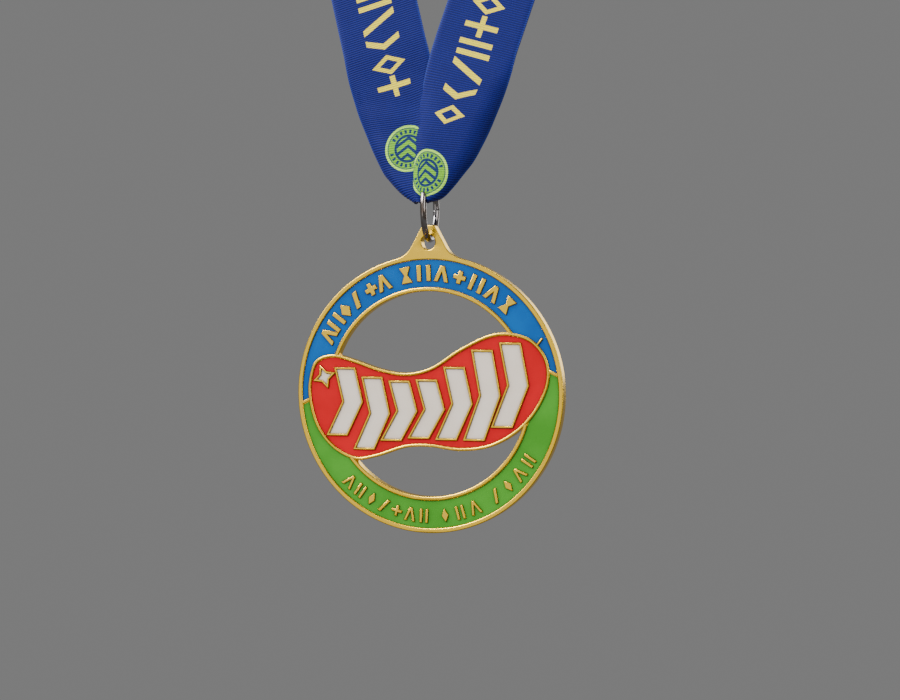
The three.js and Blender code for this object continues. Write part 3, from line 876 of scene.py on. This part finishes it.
def clothMaterial():
    material, shader = newMaterial("ribbonCloth")
    where = objectPlace(material)
    strap = addNode(material, "ShaderNodeSeparateXYZ")
    plug(material, strap.inputs[0], uvPlace(material, "ribbonUv"))
    u, v = strap.outputs[0], strap.outputs[1]
    badge = addNode(material, "ShaderNodeSeparateXYZ")
    plug(material, badge.inputs[0], uvPlace(material, "badgeUv"))
    outline, lime, ground = printedBadge(material, badge.outputs[0], badge.outputs[1])
    cloud = noise(material, where, 120, 3)
    thread = noise(material, where, 2600, 3)
    base = blendColors(material, cloud, color(0.003, 0.007, 0.13), color(0.005, 0.012, 0.175))
    edge = spread(material, calc(material, "ABSOLUTE", u), 11.9, 12.3)
    base = blendColors(material, calc(material, "MULTIPLY", edge, 0.55), base, color(0.02, 0.045, 0.30))
    # painted shade and highlight: the base colour is darkened in the rib troughs and lightened on the rib
    # crests, as light falls across the ribs, with real thread grain mixed in
    rib = calc(material, "COSINE", calc(material, "MULTIPLY", v, 2 * math.pi / ribbon["ribPitch"]))
    shade = spread(material, rib, -1.0, 1.0, 0.1, 0.95)
    ribShadeAndThread = calc(material, "ADD", shade, calc(material, "MULTIPLY", thread, 0.35))
    paintedRibShade = blendColors(material, ribShadeAndThread, color(0.13, 0.13, 0.18), color(1.15, 1.15, 1.15))
    base = blendColors(material, 1.0, base, paintedRibShade, "MULTIPLY")
    rough = noise(material, where, 1500, 2)
    hold = spread(material, rough, 0.2, 0.5, 0.78, 1.0)
    yellow = calc(material, "MULTIPLY", printedMarks(material, u, v), hold)
    clear = calc(material, "SUBTRACT", 1.0, ground)
    base = blendColors(material, calc(material, "MULTIPLY", yellow, clear), base, color(0.86, 0.70, 0.035))
    base = blendColors(material, calc(material, "MULTIPLY", ground, 0.55), base, color(0.010, 0.045, 0.11))
    base = blendColors(material, calc(material, "MULTIPLY", lime, hold), base, color(0.18, 0.47, 0.02))
    base = blendColors(material, calc(material, "MULTIPLY", outline, hold), base, color(0.46, 0.86, 0.08))
    plug(material, shader.inputs["Base Color"], base)
    shader.inputs["Roughness"].default_value = 0.62
    shader.inputs["Sheen Weight"].default_value = 0.06
    shader.inputs["Sheen Roughness"].default_value = 0.45
    shader.inputs["Specular IOR Level"].default_value = 0.15
    far = spread(material, v, ribbon["ribbedLength"] - 4, ribbon["ribbedLength"])
    near = within(material, v, 1000.0, 2000.0 + ribbon["ribbedLength"])
    plainPart = calc(material, "MULTIPLY", far, calc(material, "SUBTRACT", 1.0, near))
    ribHeight = calc(material, "MULTIPLY", calc(material, "MULTIPLY", rib, 0.5), plainPart)
    height = calc(material, "ADD", ribHeight, calc(material, "MULTIPLY", thread, 0.35))
    plug(material, shader.inputs["Normal"], bump(material, height, 0.5, 0.0001))
    return material


badges = {"right": (-1.1, 63.0), "left": (-6.5, 70.1), "squeeze": 1.8}


# places about a badge's centre, squeezed under the crease on the top strap
def badgePlace(grid, centre, onTop):
    x0 = centre[0] + ribbon["viewLean"] * -vPlane(centre[1])
    x = grid[..., 0] - x0
    z = (grid[..., 2] - centre[1]) * math.hypot(1, ribbon["lean"] * 0.4)
    if onTop:
        x = np.where(x < 0, x * badges["squeeze"], x)
    return np.stack([x, z], -1)


# half the cloth's thickness, with its ribs and thinner selvedges
def ribLift(run, ribbed):
    inside = 1 - smoothStep(np.abs(columns), 0.93, 0.975)
    wave = 0.5 + 0.5 * np.cos(2 * math.pi * run / ribbon["ribPitch"])
    height = ribbon["ribHeight"] * wave * ribbed
    selvedge = ribbon["half"] - 0.1 * smoothStep(np.abs(columns), 0.96, 1.0)
    return selvedge[None, :] + height[:, None] * inside[None, :]


def makeRibbon():
    grids, lifts, straps, badgeGrids = [], [], [], []
    for side, rows, key in ((1, rightRows, "right"), (-1, leftRows, "left")):
        gathered, run, vRun = gatheredRows(rows, side == 1)
        strap, strapRun = strapRows(vRun)
        if side == -1:
            strap = strap * np.array([-1, 1, 1])
        settle = smoothStep(run, vRun - 12, vRun)[:, None, None]
        onto = 2 * strap[0] - strap[1] - gathered[-1]
        gathered = gathered + onto[None] * settle
        badgeGrid = badgePlace(gathered, badges[key], side == 1)
        away = np.full(strap.shape[:2] + (2,), badgeAway)
        grid = np.concatenate([gathered, strap])
        allRun = np.concatenate([run, strapRun])
        ribbed = 1 - smoothStep(allRun, ribbon["ribbedLength"] - 6, ribbon["ribbedLength"])
        lift = ribLift(allRun, ribbed)
        across = columns[None, :] * ribbon["width"] / 2
        printed = (allRun + ribbon["printStart"][key])[:, None]
        uv = np.stack(np.broadcast_arrays(across, printed), -1)
        badgeUv = np.concatenate([badgeGrid, away])
        if side == -1:
            grid, lift, uv, badgeUv = grid[::-1][1:], lift[::-1][1:], uv[::-1][1:], badgeUv[::-1][1:]
        grids.append(grid)
        lifts.append(lift)
        straps.append(uv)
        badgeGrids.append(badgeUv)
    grid, lift = np.concatenate(grids), np.concatenate(lifts)
    uvs = [
        ("ribbonUv", np.concatenate(straps), np.array([0.0, ribbon["backShift"]])),
        ("badgeUv", np.concatenate(badgeGrids), badgeBackShift),
    ]
    piece = closedStrip("neckRibbon", grid, lift, uvs, cloth)
    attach(piece, "ribbon")
    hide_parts("neck_ribbon")
    return piece


pouch = {
    "rise": 37.0,
    "rows": 150,
    "columns": 41,
    "half": 0.35,
    "gap": 1.35,
    "fold": 0.3,
    "printHalf": 11.5,
    "printStart": 3000,
    "backShift": 1000.0,
}
# half widths, depths and sideways shifts against the rise above the fold
pouchWidths = [(0, 1.8), (2, 4.6), (5, 7.0), (10, 10.0), (20, 14.8), (30, 18.6), (37, 20.4)]
pouchDepths = [(0, 1.6), (1.2, 5.4), (3, 7.8), (7, 7.7), (14, 5.6), (24, 2.7), (32, 0.9), (37, 0.35)]
pouchShifts = [(0, -2.6), (20, -1.2), (40, 0)]


# the ribbon's turned-up ends behind the V, cupped round the top of the jump ring
def makePouch():
    rises = pouch["rise"] * np.linspace(0, 1, pouch["rows"]) ** 1.35 + 0.5
    across = np.linspace(-1, 1, pouch["columns"])
    width = np.interp(rises, *zip(*pouchWidths))[:, None]
    depth = np.interp(rises, *zip(*pouchDepths))[:, None]
    z = foldZ + rises[:, None] + 0 * across[None, :]
    lean = -ribbon["viewLean"] * vPlane(z)
    shift = np.interp(rises, *zip(*pouchShifts))[:, None]
    x = across[None, :] * width + shift + lean
    cup = (1 - np.abs(across[None, :]) ** 2.4) ** 0.8
    wave = np.cos(across[None, :] * 15 + 0.4 * np.sin(rises[:, None] * 0.3))
    folds = pouch["fold"] * wave * np.exp(-rises[:, None] / 16)
    y = vPlane(z) + pouch["gap"] + depth * cup + folds * cup
    grid = np.stack([x, y, z], -1)
    middle = grid[:, pouch["columns"] // 2]
    run = np.concatenate([[0], np.cumsum(np.linalg.norm(np.diff(middle, axis=0), axis=1))])
    printed = (run + pouch["printStart"])[:, None]
    uv = np.stack(np.broadcast_arrays(across[None, :] * pouch["printHalf"], printed), -1)
    lift = np.full(grid.shape[:2], pouch["half"])
    away = np.full(grid.shape[:2] + (2,), badgeAway)
    uvs = [("ribbonUv", uv, np.array([0.0, pouch["backShift"]])), ("badgeUv", away, 0.0)]
    piece = closedStrip("ribbonPouch", grid, lift, uvs, cloth)
    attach(piece, "ribbon")
    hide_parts("neck_ribbon")
    return piece


cloth = clothMaterial()
neckRibbon = makeRibbon()
print("ribbon made")
ribbonPouch = makePouch()
print("ribbon gathered")


def makeLight(name, spot, aim, size, power):
    data = bpy.data.lights.new(name, "AREA")
    data.shape = "RECTANGLE"
    data.size, data.size_y = size
    data.energy = power
    lamp = bpy.data.objects.new(name, data)
    lamp.location = spot
    lamp.visible_camera = False
    lamp.rotation_euler = (Vector(aim) - Vector(spot)).to_track_quat("-Z", "Y").to_euler()
    bpy.context.collection.objects.link(lamp)


makeLight("keyLight", (-0.75, -1.15, 0.6), medalCentre, (0.6, 0.6), 30)
makeLight("frontPanel", (-0.48, -1.5, -0.3), medalCentre, (1.0, 1.1), 2.6)
makeLight("fillLight", (1.2, -0.9, 0.1), medalCentre, (0.6, 1.1), 8)
makeLight("topLight", (0.0, -0.2, 1.1), medalCentre, (1.0, 0.6), 12)
makeLight("rimLight", (-1.0, -0.32, 0.3), medalCentre, (0.5, 0.5), 7)
makeLight("backLight", (0.5, 1.4, 0.2), medalCentre, (1.0, 1.0), 7)
world = bpy.data.worlds.new("studio")
world.use_nodes = True
world.node_tree.nodes["Background"].inputs["Color"].default_value = color(0.80, 0.80, 0.80)
world.node_tree.nodes["Background"].inputs["Strength"].default_value = 0.25
bpy.context.scene.world = world
print("stage lit")
